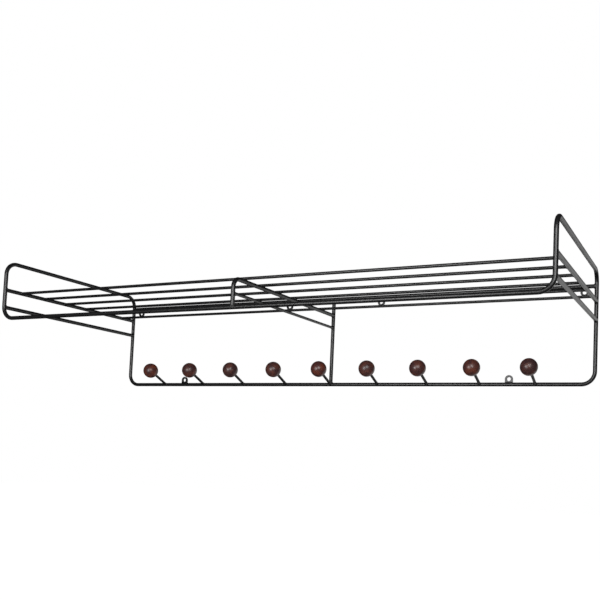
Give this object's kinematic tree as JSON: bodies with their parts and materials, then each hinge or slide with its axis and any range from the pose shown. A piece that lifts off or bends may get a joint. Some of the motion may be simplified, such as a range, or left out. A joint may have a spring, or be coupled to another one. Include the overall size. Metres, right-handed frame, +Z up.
{
  "type": "hat shelf",
  "caption": "Wall-hung hat shelf: a bent rod frame with straight shelf wires between raised ends, and a rear rail of forward-rising hooks with lacquered wooden balls.",
  "frame": {"origin": "on the wall, midway along the line of the upper fixing holes", "axes": "+X right along the wall as seen from the room, +Y into the wall, +Z up"},
  "size_m": [1, 0.35, 0.1987],
  "materials": {
    "black_steel": "black powder coat, satin",
    "lacquered_wood": "dark reddish-brown stain under gloss lacquer"
  },
  "bodies": {
    "root": {"frame_loop": "black_steel", "left_shelf_bar": "black_steel", "left_lower_bar": "black_steel", "right_shelf_bar": "black_steel", "right_lower_bar": "black_steel", "rear_top_rail": "black_steel", "centre_upright": "black_steel", "centre_bracket": "black_steel", "centre_lower_bar": "black_steel", "shelf_wire_1": "black_steel", "shelf_wire_2": "black_steel", "shelf_wire_3": "black_steel", "shelf_wire_4": "black_steel", "shelf_wire_5": "black_steel", "shelf_wire_6": "black_steel", "hook_1": "black_steel", "hook_2": "black_steel", "hook_3": "black_steel", "hook_4": "black_steel", "hook_5": "black_steel", "hook_6": "black_steel", "hook_7": "black_steel", "hook_8": "black_steel", "hook_9": "black_steel", "hook_balls": "lacquered_wood", "upper_tab_1": "black_steel", "upper_tab_2": "black_steel", "upper_tab_3": "black_steel", "upper_tab_4": "black_steel", "lower_tab_1": "black_steel", "lower_tab_2": "black_steel"}
  },
  "joints": []
}
